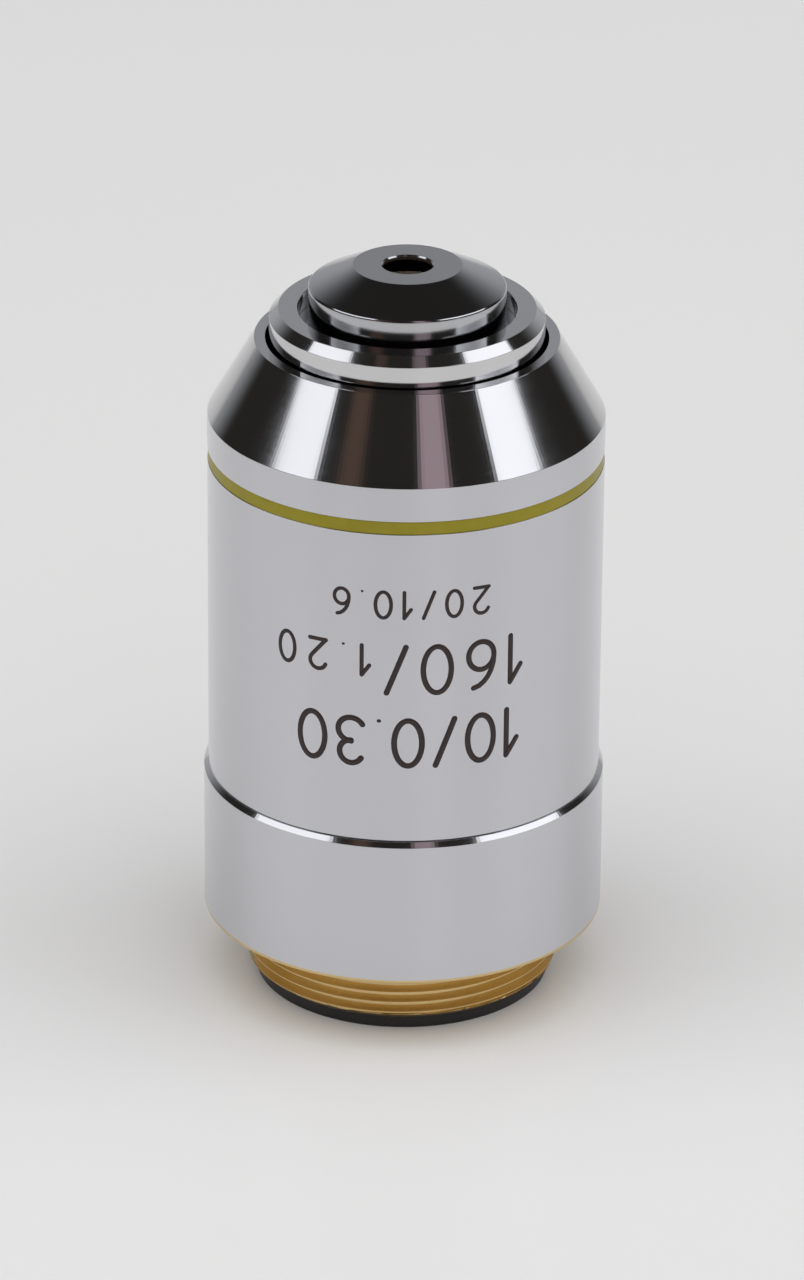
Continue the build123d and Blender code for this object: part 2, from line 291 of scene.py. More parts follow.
def section_of(outline):
    """Rows for the lathe from corners of (radius, height, corner radius, finish of the side after it)."""
    rows = []
    for i, corner in enumerate(outline):
        points = rounded(outline[i - 1], corner, outline[(i + 1) % len(outline)])
        rows += [(p.x, p.y, corner[3], 0) for p in points]
    return rows


# %% The lathe tree
thread_sizes = (
    "Pitch", "Depth", "Crest Radius", "Crest Height", "Foot", "Top",
    "End Chamfer", "Fade Start", "Fade End", "Relief Length",
)
finish_names = ("Outer Finish", "Second Finish", "Third Finish", "Inner Finish")


def lathe_tree(with_thread=False):
    """The node tree that turns a half section; with_thread lets marked rows climb as a helix."""
    tree = bpy.data.node_groups.new("thread lathe" if with_thread else "lathe", "GeometryNodeTree")
    wanted = [("Section", "NodeSocketGeometry"), ("Steps Round", "NodeSocketInt")]
    if with_thread:
        wanted += [(name, "NodeSocketFloat") for name in thread_sizes]
    wanted += [(name, "NodeSocketMaterial") for name in finish_names]
    for name, kind in wanted:
        tree.interface.new_socket(name, in_out="INPUT", socket_type=kind)
    tree.interface.new_socket("Piece", in_out="OUTPUT", socket_type="NodeSocketGeometry")
    given = add(tree, "NodeGroupInput").outputs
    size = add(tree, "GeometryNodeAttributeDomainSize", {0: given["Section"]}, component="MESH")
    rows = maths(tree, "ADD", size.outputs["Point Count"], 1)
    columns = maths(tree, "ADD", given["Steps Round"], 1)
    grid = add(tree, "GeometryNodeMeshGrid", {"Vertices X": columns, "Vertices Y": rows}).outputs["Mesh"]
    index = add(tree, "GeometryNodeInputIndex").outputs[0]

    def from_row(data_type, value, row_count):
        """What the section holds at the row that this point or face of the grid belongs to."""
        row = maths(tree, "MODULO", maths(tree, "MODULO", index, row_count), size.outputs["Point Count"])
        inputs = {"Geometry": given["Section"], "Value": value, "Index": row}
        found = add(tree, "GeometryNodeSampleIndex", inputs, data_type=data_type, domain="POINT")
        return found.outputs[0]

    spot = from_row("FLOAT_VECTOR", add(tree, "GeometryNodeInputPosition").outputs[0], rows)
    spot = add(tree, "ShaderNodeSeparateXYZ", {0: spot}).outputs
    radius, height = spot["X"], spot["Z"]
    column = maths(tree, "FLOOR", maths(tree, "DIVIDE", index, rows))
    turn_share = maths(tree, "DIVIDE", column, given["Steps Round"])
    if with_thread:
        marked = add(tree, "GeometryNodeInputNamedAttribute", {"Name": "climbs"}, data_type="FLOAT")
        climbs = from_row("FLOAT", marked.outputs[0], rows)
        radius, height = threaded(tree, given, climbs, turn_share, radius, height)
    angle = maths(tree, "MULTIPLY", turn_share, 2 * pi)
    place = add(tree, "ShaderNodeCombineXYZ", {
        "X": maths(tree, "MULTIPLY", radius, maths(tree, "COSINE", angle)),
        "Y": maths(tree, "MULTIPLY", radius, maths(tree, "SINE", angle)),
        "Z": height,
    })
    marked = add(tree, "GeometryNodeInputNamedAttribute", {"Name": "finish"}, data_type="FLOAT")
    finish = from_row("FLOAT", marked.outputs[0], maths(tree, "SUBTRACT", rows, 1))
    held = {"Geometry": grid, "Name": "finish", "Value": finish}
    held = add(tree, "GeometryNodeStoreNamedAttribute", held, data_type="FLOAT", domain="FACE")
    turned = {"Geometry": held.outputs[0], "Position": place.outputs[0]}
    turned = add(tree, "GeometryNodeSetPosition", turned)
    closed = add(tree, "GeometryNodeMergeByDistance", {"Geometry": turned.outputs[0], "Distance": 1e-7})
    sharp = add(tree, "GeometryNodeInputMeshEdgeAngle").outputs["Unsigned Angle"]
    smooth = add(tree, "FunctionNodeCompare", {"A": sharp, "B": radians(30)}, operation="LESS_THAN")
    soft = {"Geometry": closed.outputs[0], "Shade Smooth": smooth.outputs[0]}
    soft = add(tree, "GeometryNodeSetShadeSmooth", soft, domain="EDGE")
    real = add(tree, "GeometryNodeRealizeInstances", {0: soft.outputs[0]}).outputs[0]
    marked = add(tree, "GeometryNodeInputNamedAttribute", {"Name": "finish"}, data_type="FLOAT")
    for number, name in enumerate(finish_names):
        chosen = {"A": marked.outputs[0], "B": float(number), "Epsilon": 0.1}
        chosen = add(tree, "FunctionNodeCompare", chosen, operation="EQUAL").outputs[0]
        inputs = {"Geometry": real, "Selection": chosen, "Material": given[name]}
        real = add(tree, "GeometryNodeSetMaterial", inputs).outputs[0]
    add(tree, "NodeGroupOutput", {0: real})
    return tree


def threaded(tree, given, climbs, turn_share, radius, height):
    """Radius and height of the rows that climb one pitch in each turn, cut to the thread's form."""
    risen = maths(tree, "MULTIPLY_ADD", turn_share, given["Pitch"], height)
    limits = {"Value": risen, "Min": given["Foot"], "Max": given["Top"]}
    between = add(tree, "ShaderNodeClamp", limits).outputs[0]
    from_crest = maths(tree, "SUBTRACT", height, given["Crest Height"])
    phase = maths(tree, "FRACT", maths(tree, "DIVIDE", from_crest, given["Pitch"]))
    to_crest = maths(tree, "ABSOLUTE", maths(tree, "MULTIPLY_ADD", phase, 2.0, -1.0))
    flank = ramp(tree, to_crest, 0.88, 0.2, smooth=False)
    root = maths(tree, "SINE", maths(tree, "MULTIPLY", flank, pi / 2))
    cut = add(tree, "ShaderNodeMix", {0: 0.35, 2: flank, 3: root}, data_type="FLOAT").outputs[0]
    above_foot = maths(tree, "SUBTRACT", between, given["Foot"])
    starts = ramp(tree, above_foot, given["Fade Start"], given["Fade End"])
    depth = maths(tree, "MULTIPLY", maths(tree, "MULTIPLY", cut, given["Depth"]), starts)
    wave = maths(tree, "SUBTRACT", given["Crest Radius"], depth)
    end_radius = maths(tree, "SUBTRACT", given["Crest Radius"], given["End Chamfer"])
    end_edge = maths(tree, "ADD", end_radius, above_foot)
    to_top = maths(tree, "SUBTRACT", given["Top"], between)
    past_relief = maths(tree, "MAXIMUM", maths(tree, "SUBTRACT", to_top, given["Relief Length"]), 0.0)
    relief_radius = maths(tree, "SUBTRACT", given["Crest Radius"], given["Depth"])
    relief = maths(tree, "MULTIPLY_ADD", past_relief, 2.0, relief_radius)
    limited = maths(tree, "MINIMUM", wave, maths(tree, "MINIMUM", end_edge, relief))
    picks = []
    for plain, cut_value in ((radius, limited), (height, between)):
        inputs = {0: climbs, 2: plain, 3: cut_value}
        picks.append(add(tree, "ShaderNodeMix", inputs, data_type="FLOAT").outputs[0])
    return picks


# %% Turn one piece
steps_round = 320


def grown(piece, tree, values):
    """The piece as a plain mesh object, once the tree has run on it with these inputs."""
    modifier = piece.modifiers.new("tree", "NODES")
    modifier.node_group = tree
    for item in tree.interface.items_tree:
        if item.item_type == "SOCKET" and item.name in values:
            modifier[item.identifier] = values[item.name]
    bpy.context.scene.collection.objects.link(piece)
    bpy.context.view_layer.update()
    seen = piece.evaluated_get(bpy.context.evaluated_depsgraph_get())
    mesh = bpy.data.meshes.new_from_object(seen)
    name = piece.name
    bpy.data.objects.remove(piece)
    done = bpy.data.objects.new(name, mesh)
    mesh.name = name
    bpy.context.scene.collection.objects.link(done)
    return done


def enclosed(mesh):
    """The volume in cubic millimetres, which is positive only if the faces point outwards."""
    mesh.calc_loop_triangles()
    spots = [v.co for v in mesh.vertices]
    total = 0.0
    for triangle in mesh.loop_triangles:
        a, b, c = (spots[i] for i in triangle.vertices)
        total += a.dot(b.cross(c)) / 6
    return total / mm**3


def open_edges(mesh):
    """How many edges don't have exactly two faces, which is none on a closed piece."""
    uses = {}
    for polygon in mesh.polygons:
        for key in polygon.edge_keys:
            uses[key] = uses.get(key, 0) + 1
    return sum(1 for count in uses.values() if count != 2)


def turned(name, section, finishes, tree, sizes=None):
    """A piece from its section, rows of (radius, height, finish number, climbs) in millimetres."""
    mesh = bpy.data.meshes.new(name)
    mesh.from_pydata([(r * mm, 0, z * mm) for r, z, _, _ in section], [], [])
    for label, column in (("finish", 2), ("climbs", 3)):
        values = [row[column] for row in section]
        mesh.attributes.new(label, "FLOAT", "POINT").data.foreach_set("value", values)
    values = {"Steps Round": steps_round}
    for label, finish in zip(finish_names, finishes):
        values[label] = finish
    values.update(sizes or {})
    piece = grown(bpy.data.objects.new(name, mesh), tree, values)
    triangles = sum(len(p.vertices) - 2 for p in piece.data.polygons)
    volume = enclosed(piece.data)
    print(f"{name}: {triangles} triangles, {volume:.0f} mm3, {open_edges(piece.data)} open edges")
    assert volume > 0, f"{name} is inside out"
    return piece


lathe = lathe_tree()
thread_lathe = lathe_tree(with_thread=True)
print("lathe trees with", len(lathe.nodes), "and", len(thread_lathe.nodes), "nodes")

# %% [markdown]
# ## Finishes
# Turned metal is never perfectly even. The tool leaves rings far finer than a hair, plating varies a
# little in gloss, and handling leaves faint smears. Each metal below starts from one function that
# adds those three, in sizes taken in millimetres on the object. The rings also stretch highlights
# along the axis, which the shader does with its anisotropy and a tangent that runs round the axis.

# %% Turned metal
def new_material(name):
    """An empty material with its node tree and its main shader."""
    material = bpy.data.materials.new(name)
    material.use_nodes = True
    return material, material.node_tree, material.node_tree.nodes["Principled BSDF"]


def noise(tree, place, size, detail=2.0, stretch=None):
    """A noise value whose features are about size millimetres across, stretched per axis if asked."""
    if stretch:
        place = add(tree, "ShaderNodeMapping", {"Vector": place, "Scale": stretch}).outputs[0]
    inputs = {"Vector": place, "Scale": 1 / (size * mm), "Detail": detail}
    return add(tree, "ShaderNodeTexNoise", inputs).outputs["Fac"]


def turning_rings(tree, place, size):
    """A value that changes only along the section of a turned piece, like the marks of the tool."""
    parts = add(tree, "ShaderNodeSeparateXYZ", {0: place}).outputs
    across = add(tree, "ShaderNodeCombineXYZ", {"X": parts["X"], "Y": parts["Y"]}).outputs[0]
    radius = add(tree, "ShaderNodeVectorMath", {0: across}, operation="LENGTH").outputs["Value"]
    along = maths(tree, "SUBTRACT", parts["Z"], radius)
    spot = add(tree, "ShaderNodeCombineXYZ", {"X": along}).outputs[0]
    slow = add(tree, "ShaderNodeVectorMath", {0: place, 3: 0.004}, operation="SCALE").outputs[0]
    spot = add(tree, "ShaderNodeVectorMath", {0: spot, 1: slow}, operation="ADD").outputs[0]
    return noise(tree, spot, size, 3.0)


def blend_colours(tree, share, first, second):
    """A colour between two, by a share."""
    return add(tree, "ShaderNodeMix", {0: share, 6: first, 7: second}, data_type="RGBA").outputs[2]


def turned_metal(name, dark, light, rough, rough_spread, along=0.0, ring=0.03, ring_height=0.0002,
                 smear=0.05, coat=0.0):
    """Metal off the lathe: colours between dark and light, roughness from rings, blotches and smears."""
    material, tree, shader = new_material(name)
    place = add(tree, "ShaderNodeTexCoord").outputs["Object"]
    rings = turning_rings(tree, place, ring)
    blotches = noise(tree, place, 5.0, 4.0)
    smears = ramp(tree, noise(tree, place, 9.0, 5.0, (1.0, 1.0, 0.5)), 0.52, 0.72)
    tint = maths(tree, "MULTIPLY_ADD", rings, 0.5, maths(tree, "MULTIPLY", blotches, 0.5))
    tree.links.new(blend_colours(tree, tint, (*dark, 1), (*light, 1)), shader.inputs["Base Color"])
    gloss = ramp(tree, rings, 0.3, 0.7, rough - rough_spread, rough + rough_spread, smooth=False)
    gloss = maths(tree, "MULTIPLY_ADD", smears, smear, gloss)
    tree.links.new(gloss, shader.inputs["Roughness"])
    shader.inputs["Metallic"].default_value = 1.0
    bumps = {"Height": rings, "Strength": 0.25, "Distance": ring_height * mm}
    tree.links.new(add(tree, "ShaderNodeBump", bumps).outputs[0], shader.inputs["Normal"])
    if along:
        tangent = add(tree, "ShaderNodeTangent", direction_type="RADIAL", axis="Z").outputs[0]
        tree.links.new(tangent, shader.inputs["Tangent"])
        shader.inputs["Anisotropic"].default_value = along
        shader.inputs["Anisotropic Rotation"].default_value = 0.25
    return material


satin_chrome = turned_metal("satin chrome", (0.605, 0.608, 0.638), (0.635, 0.638, 0.668), 0.21, 0.008,
                            along=0.6, ring=0.12, ring_height=0.00003, smear=0.03)
polished_chrome = turned_metal("polished chrome", (0.64, 0.64, 0.65), (0.68, 0.68, 0.69), 0.085, 0.01,
                               along=0.5, ring=0.08, ring_height=0.00005, smear=0.03)
dark_nickel = turned_metal("dark nickel", (0.49, 0.495, 0.51), (0.54, 0.545, 0.56), 0.12, 0.02,
                           along=0.1, ring=0.08, ring_height=0.00005, smear=0.04)
thread_brass = turned_metal("thread brass", (0.58, 0.40, 0.16), (0.80, 0.62, 0.33), 0.20, 0.05,
                            along=0.1, ring=0.06, ring_height=0.0001, smear=0.06)
bare_brass = turned_metal("turned brass", (0.64, 0.47, 0.22), (0.76, 0.59, 0.31), 0.26, 0.05,
                          along=0.4, ring=0.08, ring_height=0.0001, smear=0.06)


# %% [markdown]
# Inside, brass is blackened and aluminium is anodised black, so that stray light dies in the tube.
# Both are dull skins over turned metal: the skin is not a metal in the shader, and it lets a little
# of the metal's colour through on the rings.

# %% Dark skins, enamel and glass
def dark_skin(name, low, high, rough, ring):
    """A matt black skin over turned metal, a little lighter where the tool's rings stand up."""
    material, tree, shader = new_material(name)
    place = add(tree, "ShaderNodeTexCoord").outputs["Object"]
    rings = turning_rings(tree, place, ring)
    grain = noise(tree, place, 0.12, 3.0)
    tint = maths(tree, "MULTIPLY_ADD", rings, 0.6, maths(tree, "MULTIPLY", grain, 0.4))
    tree.links.new(blend_colours(tree, tint, (*low, 1), (*high, 1)), shader.inputs["Base Color"])
    tree.links.new(ramp(tree, grain, 0.3, 0.7, rough - 0.06, rough + 0.06), shader.inputs["Roughness"])
    shader.inputs["Specular IOR Level"].default_value = 0.4
    bumps = {"Height": tint, "Strength": 0.4, "Distance": 0.004 * mm}
    tree.links.new(add(tree, "ShaderNodeBump", bumps).outputs[0], shader.inputs["Normal"])
    return material


blackened_brass = dark_skin("blackened brass", (0.022, 0.019, 0.015), (0.050, 0.040, 0.028), 0.42, 0.10)
black_aluminium = dark_skin("black anodised aluminium", (0.016, 0.016, 0.018), (0.030, 0.030, 0.034),
                            0.55, 0.14)
black_ring_finish = dark_skin("black ring", (0.012, 0.012, 0.013), (0.024, 0.024, 0.026), 0.36, 0.06)


def enamel():
    """Olive yellow enamel in a groove: glossy, slightly uneven, and a shade darker at its edges."""
    material, tree, shader = new_material("band enamel")
    place = add(tree, "ShaderNodeTexCoord").outputs["Object"]
    flow = noise(tree, place, 1.6, 3.0)
    colour = blend_colours(tree, flow, (0.26, 0.22, 0.016, 1), (0.36, 0.305, 0.026, 1))
    tree.links.new(colour, shader.inputs["Base Color"])
    tree.links.new(ramp(tree, flow, 0.3, 0.7, 0.30, 0.40), shader.inputs["Roughness"])
    shader.inputs["Specular IOR Level"].default_value = 0.2
    bumps = {"Height": flow, "Strength": 0.1, "Distance": 0.004 * mm}
    tree.links.new(add(tree, "ShaderNodeBump", bumps).outputs[0], shader.inputs["Normal"])
    return material


def ink():
    """Dark brown-black figure paint, thin enough that its surface is dull and a little patchy."""
    material, tree, shader = new_material("figure paint")
    place = add(tree, "ShaderNodeTexCoord").outputs["Object"]
    patches = noise(tree, place, 0.25, 3.0)
    colour = blend_colours(tree, patches, (0.020, 0.011, 0.010, 1), (0.036, 0.022, 0.020, 1))
    tree.links.new(colour, shader.inputs["Base Color"])
    tree.links.new(ramp(tree, patches, 0.3, 0.7, 0.45, 0.6), shader.inputs["Roughness"])
    return material


def lens_glass(name, ior, tint, film, bloom):
    """Coated optical glass: clear, with a thin film that colours its reflection, and a trace of haze."""
    material, tree, shader = new_material(name)
    place = add(tree, "ShaderNodeTexCoord").outputs["Object"]
    haze = noise(tree, place, 0.8, 4.0)
    clear = blend_colours(tree, haze, (*tint, 1), (1, 1, 1, 1))
    tree.links.new(clear, shader.inputs["Base Color"])
    tree.links.new(ramp(tree, haze, 0.45, 0.75, 0.0, bloom), shader.inputs["Roughness"])
    shader.inputs["Transmission Weight"].default_value = 1.0
    shader.inputs["IOR"].default_value = ior
    shader.inputs["Thin Film Thickness"].default_value = film
    shader.inputs["Thin Film IOR"].default_value = 1.38
    return material


band_enamel = enamel()
figure_paint = ink()
crown_glass = lens_glass("crown glass", 1.52, (0.95, 0.98, 0.99), 100.0, 0.02)
flint_glass = lens_glass("flint glass", 1.62, (0.98, 0.98, 0.94), 115.0, 0.02)
print(len(bpy.data.materials), "finishes")

# %% [markdown]
# ## Base and thread
# One brass blank is turned, threaded and then chromed above the shoulder, while the thread is
# masked and stays bare. The thread is 0.8 inch with 36 turns to the inch, the usual one for
# objectives. Its section is cut into the rows that climb: one pitch in each turn, so the crests are
# true helices and follow the edges of the mesh. At its foot the groove runs out in the end chamfer.

# %% The base ring and its thread
def radius_of(node):
    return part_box(node)[1].x / mm


def height_of(node):
    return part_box(node)[0].z / mm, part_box(node)[1].z / mm


OUTER, SECOND, THIRD, INNER = 0, 1, 2, 3
base_r = radius_of("mount_base")
thread_foot, spigot_top = height_of("mount_base")
barrel_foot, barrel_top = height_of("outer_barrel")
base_edge = 0.29
shoulder_edge = 0.08
plate_foot = 0.24
thread_r = 10.1
pitch = 25.4 / 36
thread_depth = 0.7 * pitch
crest_height = -2.593
end_chamfer, fade_start, fade_end = 0.41, 0.25, 0.45
relief_length = 0.25
rows_per_pitch = 20
row_height = pitch / rows_per_pitch
lowest_row = int((thread_foot - pitch - crest_height) // row_height)
highest_row = int(-(crest_height // row_height)) + 1
climbing = [
    (thread_r, crest_height + k * row_height, SECOND, 1) for k in range(lowest_row, highest_row + 1)
]
spigot_r, spigot_edge = 11.17, 0.25
bore_r, seat_height = 9.93, 2.86
light_bore_r, stub_bore_r, stub_floor = 7.45, 8.7, -1.0
base_outline = [
    (base_r - shoulder_edge, 0, 0.02, SECOND),
    (base_r, shoulder_edge, 0.02, SECOND),
    (base_r, plate_foot, 0, OUTER),
    (base_r, barrel_foot - base_edge, 0.03, THIRD),
    (base_r - base_edge, barrel_foot, 0.03, THIRD),
    (spigot_r, barrel_foot, 0, OUTER),
    (spigot_r, spigot_top - spigot_edge, 0, OUTER),
    (spigot_r - spigot_edge, spigot_top, 0, INNER),
    (bore_r, spigot_top, 0, INNER),
    (bore_r, seat_height, 0, INNER),
    (light_bore_r, seat_height, 0, INNER),
    (light_bore_r, stub_floor, 0, INNER),
    (stub_bore_r, stub_floor, 0, INNER),
    (stub_bore_r, thread_foot, 0, SECOND),
]
base_section = climbing + section_of([(thread_r - thread_depth, 0, 0, SECOND)] + base_outline)[1:]
base = turned(
    "base_with_thread", base_section,
    (satin_chrome, thread_brass, polished_chrome, blackened_brass), thread_lathe,
    {
        "Pitch": pitch * mm, "Depth": thread_depth * mm, "Crest Radius": thread_r * mm,
        "Crest Height": crest_height * mm, "Foot": thread_foot * mm, "Top": 0.0,
        "End Chamfer": end_chamfer * mm, "Fade Start": fade_start * mm, "Fade End": fade_end * mm,
        "Relief Length": relief_length * mm,
    },
)
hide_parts("mount_base")
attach(base, "root")

# %% [markdown]
# ## Barrel
# The barrel is the chromed sleeve that a hand holds. Its wall is satin, so that it doesn't glare,
# and its cone is polished. A groove below the cone carries the enamel ring that tells the power at
# a glance. Seen from below the rim, the wall is hollow, with the lens tube standing free inside.

# %% The barrel
barrel_r = radius_of("outer_barrel")
cone_foot = 34.16
rim_outer, rim_inner = 9.64, 8.94
band_low, band_high = height_of("magnification_band")
groove_r = 12.36
joint_edge = 0.12
mouth_foot, inner_cone_foot = 38.54, 33.89
wall_r, skirt_r, skirt_top = 11.65, 11.22, 15.83
barrel_outline = [
    (barrel_r - joint_edge, barrel_foot, 0.02, OUTER),
    (barrel_r, barrel_foot + joint_edge, 0.03, OUTER),
    (barrel_r, band_low, 0.03, OUTER),
    (groove_r, band_low, 0, OUTER),
    (groove_r, band_high, 0, OUTER),
    (barrel_r, band_high, 0.03, OUTER),
    (barrel_r, cone_foot, 0.08, SECOND),
    (rim_outer, barrel_top, 0.05, SECOND),
    (rim_inner, barrel_top, 0.04, SECOND),
    (rim_inner, mouth_foot, 0, INNER),
    (wall_r, inner_cone_foot, 0, INNER),
    (wall_r, skirt_top, 0, INNER),
    (skirt_r, skirt_top, 0, INNER),
    (skirt_r, barrel_foot, 0, OUTER),
]
barrel_finishes = (satin_chrome, polished_chrome, polished_chrome, bare_brass)
barrel = turned("barrel", section_of(barrel_outline), barrel_finishes, lathe)
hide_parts("outer_barrel")
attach(barrel, "root")

# %% The enamel band
band_r = radius_of("magnification_band")
pull_back, pull_width = 0.02, 0.06
band_outline = [
    (band_r - pull_back, band_low, 0, OUTER),
    (band_r, band_low + pull_width, 0.05, OUTER),
    (band_r, band_high - pull_width, 0.05, OUTER),
    (band_r - pull_back, band_high, 0, OUTER),
    (groove_r, band_high, 0, OUTER),
    (groove_r, band_low, 0, OUTER),
]
band = turned("colour_band", section_of(band_outline), (band_enamel,) * 4, lathe)
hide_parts("magnification_band")
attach(band, "root")

# %% [markdown]
# ## Figures on the barrel
# An engraving machine cuts each figure with one small round cutter that follows a line, and dark
# paint is wiped into the cuts. So every stroke has one width and round ends. Here each figure is a
# few lines, and a Geometry Nodes tree sweeps a flat strip along them and wraps the strips round the
# barrel. The figures stand upside down, because an objective is read when it hangs nose down. They
# are plain numbers.

# %% Strokes of the figures
def bow(middle_x, middle_y, half_wide, half_high, start, end):
    """Points on part of an oval, between two angles in degrees."""
    steps = max(2, int(abs(end - start) / 12))
    angles = [radians(start + (end - start) * i / steps) for i in range(steps + 1)]
    return [(middle_x + half_wide * cos(a), middle_y + half_high * sin(a)) for a in angles]


zero = bow(0.28, 0.5, 0.28, 0.5, 0, 360)[:-1]
six_bowl = bow(0.28, 0.3, 0.27, 0.3, 0, 360)[:-1]
figure_strokes = {
    "0": (0.56, [(zero, True)]),
    "1": (0.26, [([(0.24, 0), (0.24, 1)], False), ([(0.24, 1), (0.0, 0.66)], False)]),
    "2": (0.56, [
        (bow(0.27, 0.73, 0.27, 0.27, 160, -40) + [(0.01, 0)], False), ([(0.0, 0), (0.55, 0)], False),
    ]),
    "3": (0.54, [
        (bow(0.26, 0.75, 0.24, 0.25, 150, -90), False), (bow(0.26, 0.26, 0.27, 0.26, 90, -150), False),
    ]),
    "6": (0.56, [(six_bowl, True), (bow(0.5, 0.32, 0.49, 0.67, 180, 97), False)]),
    "/": (0.38, [([(0.0, 0), (0.38, 1)], False)]),
    ".": (0.06, [([(0.02, 0.02), (0.04, 0.02)], False)]),
}


def with_round_ends(line, half_width):
    """The line's points in steps of at most 0.25 mm with their half widths, narrowed to round ends."""
    points = [Vector(line[0])]
    for corner in line[1:]:
        step = Vector(corner) - points[-1]
        pieces = max(1, int(step.length / 0.25) + 1)
        points += [points[-1] + step / pieces * (i + 1) for i in range(pieces)]
    first, last = (points[0] - points[1]).normalized(), (points[-1] - points[-2]).normalized()
    angles = [radians(a) for a in (8, 28, 50, 72)]
    rows = [(points[0] + first * half_width * cos(a), half_width * sin(a)) for a in angles]
    rows += [(p, half_width) for p in points]
    rows += [(points[-1] + last * half_width * cos(a), half_width * sin(a)) for a in reversed(angles)]
    return rows


# %% Lay out the rows of figures
# Each row: figures with their heights, stroke width, height of the base line, and its two ends as
# angles round the barrel from the front, in degrees.
figure_rows = [
    ([(c, 3.51) for c in "10/0.30"], 0.38, 18.58, 35, -32),
    ([(c, 3.53) for c in "160/"] + [(c, 2.39) for c in "1.20"], 0.36, 23.63, 36, -39),
    ([(c, 2.0) for c in "20/10.6"], 0.24, 27.30, 25, -21),
]
# A small figure in a row of large ones has a thinner stroke, and a dot is narrower than a stroke.
thin_stroke = 0.27
small_figure = 2.5
dot_share = 0.6


def laid_out(rows, radius):
    """Points with half width and layer, and the edges, of all strokes on the unrolled barrel."""
    points, edges = [], []
    for figures, stroke, base_line, start, end in rows:
        spans = [figure_strokes[c][0] * (h - stroke) for c, h in figures]
        length = radians(start - end) * radius
        gap = (length - sum(spans) - stroke * len(spans)) / (len(spans) - 1)
        pen = radians(start) * radius
        for (c, h), span in zip(figures, spans):
            size = h - stroke
            thinner = stroke > thin_stroke and h < small_figure
            half = (thin_stroke if thinner else stroke) / 2 * (dot_share if c == "." else 1)
            for layer, (line, closed) in enumerate(figure_strokes[c][1]):
                line = [(pen - stroke / 2 - x * size, base_line - stroke / 2 - y * size) for x, y in line]
                rows_here = [(Vector(p), half) for p in line] if closed else with_round_ends(line, half)
                first = len(points)
                points += [(p.x, p.y, width, layer) for p, width in rows_here]
                edges += [(i, i + 1) for i in range(first, len(points) - 1)]
                if closed:
                    edges.append((len(points) - 1, first))
            pen -= span + stroke + gap
    return points, edges


# %% The tree that sweeps the strokes and wraps them
def figures_tree():
    """A flat strip along each stroke, wrapped round the axis at the barrel's radius."""
    tree = bpy.data.node_groups.new("figures", "GeometryNodeTree")
    wanted = [("Strokes", "NodeSocketGeometry"), ("Barrel Radius", "NodeSocketFloat")]
    wanted += [("Paint Height", "NodeSocketFloat"), ("Paint Sink", "NodeSocketFloat")]
    for name, kind in wanted + [("Paint", "NodeSocketMaterial")]:
        tree.interface.new_socket(name, in_out="INPUT", socket_type=kind)
    tree.interface.new_socket("Piece", in_out="OUTPUT", socket_type="NodeSocketGeometry")
    given = add(tree, "NodeGroupInput").outputs

    def held(name):
        return add(tree, "GeometryNodeInputNamedAttribute", {"Name": name}, data_type="FLOAT").outputs[0]

    line = add(tree, "GeometryNodeMeshToCurve", {"Mesh": given["Strokes"]}).outputs[0]
    line = add(tree, "GeometryNodeSetCurveNormal", {"Curve": line}, mode="Z_UP").outputs[0]
    strip = add(tree, "GeometryNodeCurvePrimitiveQuadrilateral", {"Width": 2.0, "Height": 0.2}).outputs[0]
    swept = {"Curve": line, "Profile Curve": strip, "Scale": held("half_width"), "Fill Caps": True}
    swept = add(tree, "GeometryNodeCurveToMesh", swept).outputs[0]
    spot = add(tree, "GeometryNodeInputPosition").outputs[0]
    spot = add(tree, "ShaderNodeSeparateXYZ", {0: spot}).outputs
    top = maths(tree, "GREATER_THAN", spot["Z"], 0.0)
    raised = maths(tree, "MULTIPLY_ADD", held("layer"), 0.000001, given["Paint Height"])
    sunk = maths(tree, "MULTIPLY", given["Paint Sink"], -1.0)
    proud = add(tree, "ShaderNodeMix", {0: top, 2: sunk, 3: raised}, data_type="FLOAT").outputs[0]
    radius = maths(tree, "ADD", given["Barrel Radius"], proud)
    angle = maths(tree, "DIVIDE", spot["X"], given["Barrel Radius"])
    place = add(tree, "ShaderNodeCombineXYZ", {
        "X": maths(tree, "MULTIPLY", radius, maths(tree, "SINE", angle)),
        "Y": maths(tree, "MULTIPLY", maths(tree, "MULTIPLY", radius, maths(tree, "COSINE", angle)), -1.0),
        "Z": spot["Y"],
    }).outputs[0]
    wrapped = add(tree, "GeometryNodeSetPosition", {"Geometry": swept, "Position": place}).outputs[0]
    real = add(tree, "GeometryNodeRealizeInstances", {0: wrapped}).outputs[0]
    real = add(tree, "GeometryNodeSetMaterial", {"Geometry": real, "Material": given["Paint"]}).outputs[0]
    add(tree, "NodeGroupOutput", {0: real})
    return tree


# %% The figures
paint_height, paint_sink = 0.006, 0.02
points, edges = laid_out(figure_rows, barrel_r)
stroke_mesh = bpy.data.meshes.new("figures")
stroke_mesh.from_pydata([(x * mm, y * mm, 0) for x, y, _, _ in points], edges, [])
half_widths = [width * mm for _, _, width, _ in points]
layers = [float(layer) for _, _, _, layer in points]
stroke_mesh.attributes.new("half_width", "FLOAT", "POINT").data.foreach_set("value", half_widths)
stroke_mesh.attributes.new("layer", "FLOAT", "POINT").data.foreach_set("value", layers)
figure_sizes = {
    "Barrel Radius": barrel_r * mm, "Paint Height": paint_height * mm,
    "Paint Sink": paint_sink * mm, "Paint": figure_paint,
}
figures = grown(bpy.data.objects.new("figures", stroke_mesh), figures_tree(), figure_sizes)
print(f"figures: {enclosed(figures.data):.3f} mm3, {open_edges(figures.data)} open edges")
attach(figures, "root")

